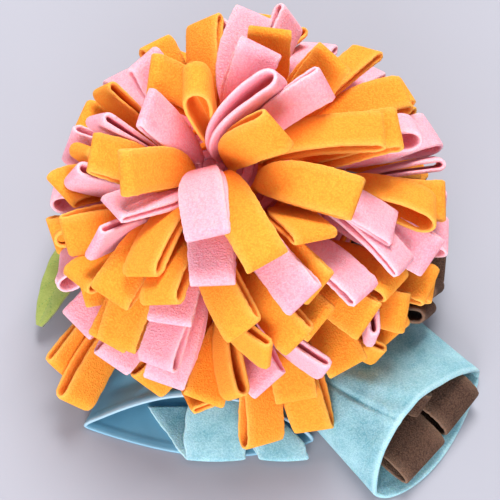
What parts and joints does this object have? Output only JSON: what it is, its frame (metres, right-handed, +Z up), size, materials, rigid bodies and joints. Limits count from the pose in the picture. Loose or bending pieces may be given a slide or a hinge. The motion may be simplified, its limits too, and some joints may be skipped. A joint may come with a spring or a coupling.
{
  "type": "snuffle mat",
  "caption": "Snuffle mat for pets: a filled dome covered with folded fleece loops, with a flat satin pocket and an open fleece sleeve stuffed with loops to hide treats in.",
  "frame": {"origin": "middle of the round base cloth, on its underside", "axes": "+Z up from the surface it lies on, -Y towards the front where the pocket and the sleeve open"},
  "size_m": [0.2832, 0.2955, 0.1955],
  "materials": {
    "base_cloth": "satin",
    "dome_fleece": "matte",
    "satin_nylon": "satin",
    "aqua_strip_left": "matte",
    "aqua_strip_right": "matte",
    "aqua_fleece": "matte",
    "brown_fleece": "matte",
    "brown_fleece_row": "matte",
    "green_felt": "matte",
    "pink_row_1_fleece": "matte",
    "orange_row_1_fleece": "matte",
    "pink_row_2_fleece": "matte",
    "orange_row_2_fleece": "matte",
    "pink_row_3_fleece": "matte",
    "orange_row_3_fleece": "matte",
    "pink_row_4_fleece": "matte",
    "orange_row_4_fleece": "matte",
    "pink_row_5_fleece": "matte",
    "orange_row_5_fleece": "matte",
    "pink_row_6_fleece": "matte",
    "orange_row_6_fleece": "matte",
    "pink_row_7_fleece": "matte",
    "orange_row_7_fleece": "matte",
    "pink_row_8_fleece": "matte",
    "orange_row_8_fleece": "matte"
  },
  "bodies": {
    "root": {"backing_panel": "base_cloth", "mound": "dome_fleece", "nylon_pocket": "satin_nylon", "pocket_strip_left": "aqua_strip_left", "pocket_strip_right": "aqua_strip_right", "fleece_sleeve": "aqua_fleece", "sleeve_strips": "brown_fleece", "brown_row": "brown_fleece_row", "leaf": "green_felt", "pink_row_1": "pink_row_1_fleece", "orange_row_1": "orange_row_1_fleece", "pink_row_2": "pink_row_2_fleece", "orange_row_2": "orange_row_2_fleece", "pink_row_3": "pink_row_3_fleece", "orange_row_3": "orange_row_3_fleece", "pink_row_4": "pink_row_4_fleece", "orange_row_4": "orange_row_4_fleece", "pink_row_5": "pink_row_5_fleece", "orange_row_5": "orange_row_5_fleece", "pink_row_6": "pink_row_6_fleece", "orange_row_6": "orange_row_6_fleece", "pink_row_7": "pink_row_7_fleece", "orange_row_7": "orange_row_7_fleece", "pink_row_8": "pink_row_8_fleece", "orange_row_8": "orange_row_8_fleece"}
  },
  "joints": []
}
